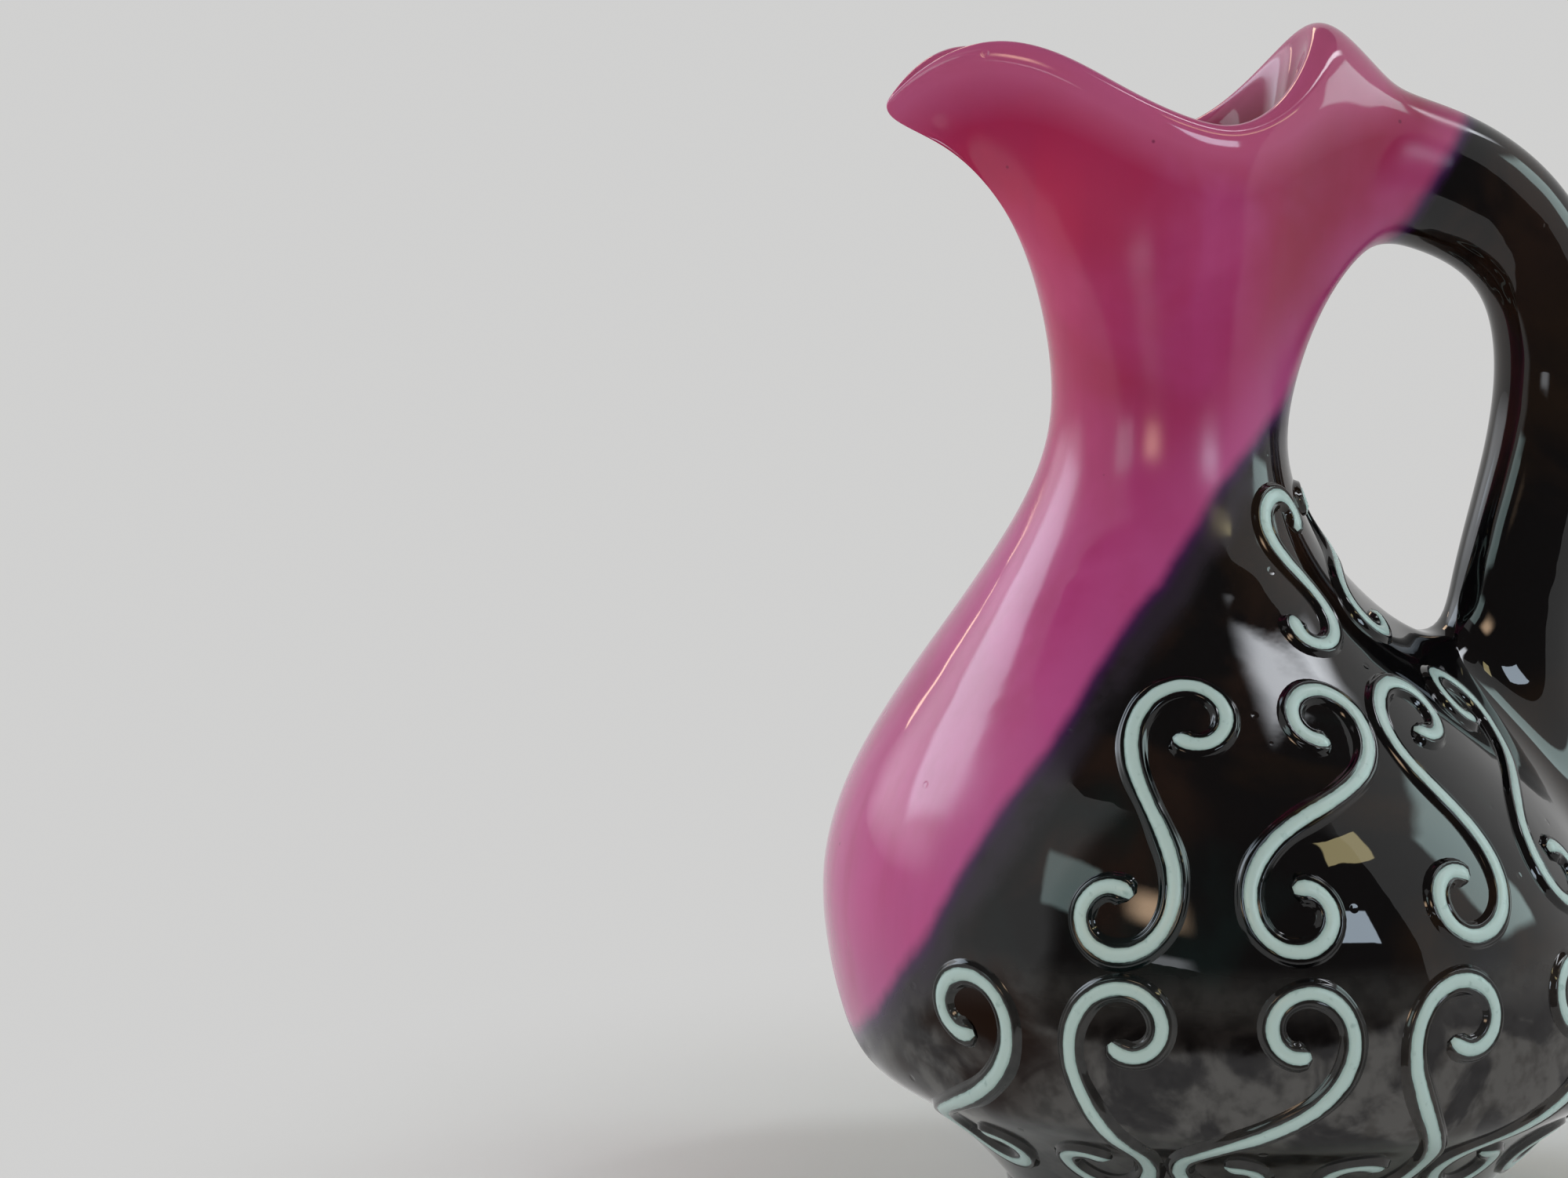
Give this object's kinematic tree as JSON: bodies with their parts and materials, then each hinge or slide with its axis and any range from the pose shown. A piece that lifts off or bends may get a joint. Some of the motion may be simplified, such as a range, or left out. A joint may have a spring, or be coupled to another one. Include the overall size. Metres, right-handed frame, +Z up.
{
  "type": "ceramic jug",
  "caption": "Round-bellied glazed ceramic jug with a beaked spout, a peaked back rim, a looped handle, a foot ring and raised slip scrolls, for pouring drinks.",
  "frame": {"origin": "on the surface the jug stands on, below the middle of the whole jug's box", "axes": "+Z up, -X towards the pouring spout, +X towards the handle, and XZ the plane that the form is symmetric about"},
  "size_m": [0.163, 0.1596, 0.2385],
  "materials": {
    "black_lustre_glaze": "high-gloss black glaze with an iridescent lustre",
    "pink_glaze": "glossy mottled magenta glaze",
    "mint_slip": "glossy pale mint slip trailing",
    "foot_clay": "matt dark clay"
  },
  "bodies": {
    "root": {"belly": "black_lustre_glaze", "neck": "pink_glaze", "mouth_and_spout": "pink_glaze", "handle": "black_lustre_glaze", "foot_ring": "foot_clay", "slip_trail_01": "mint_slip", "slip_trail_02": "mint_slip", "slip_trail_03": "mint_slip", "slip_trail_04": "mint_slip", "slip_trail_05": "mint_slip", "slip_trail_06": "mint_slip", "slip_trail_07": "mint_slip", "slip_trail_08": "mint_slip", "slip_trail_09": "mint_slip", "slip_trail_10": "mint_slip", "slip_trail_11": "mint_slip", "slip_trail_12": "mint_slip", "slip_trail_13": "mint_slip", "slip_trail_14": "mint_slip", "slip_trail_15": "mint_slip", "slip_trail_16": "mint_slip", "slip_trail_17": "mint_slip", "slip_trail_18": "mint_slip", "slip_trail_19": "mint_slip", "slip_trail_20": "mint_slip", "slip_trail_21": "mint_slip", "slip_trail_22": "mint_slip", "slip_trail_23": "mint_slip"}
  },
  "joints": []
}
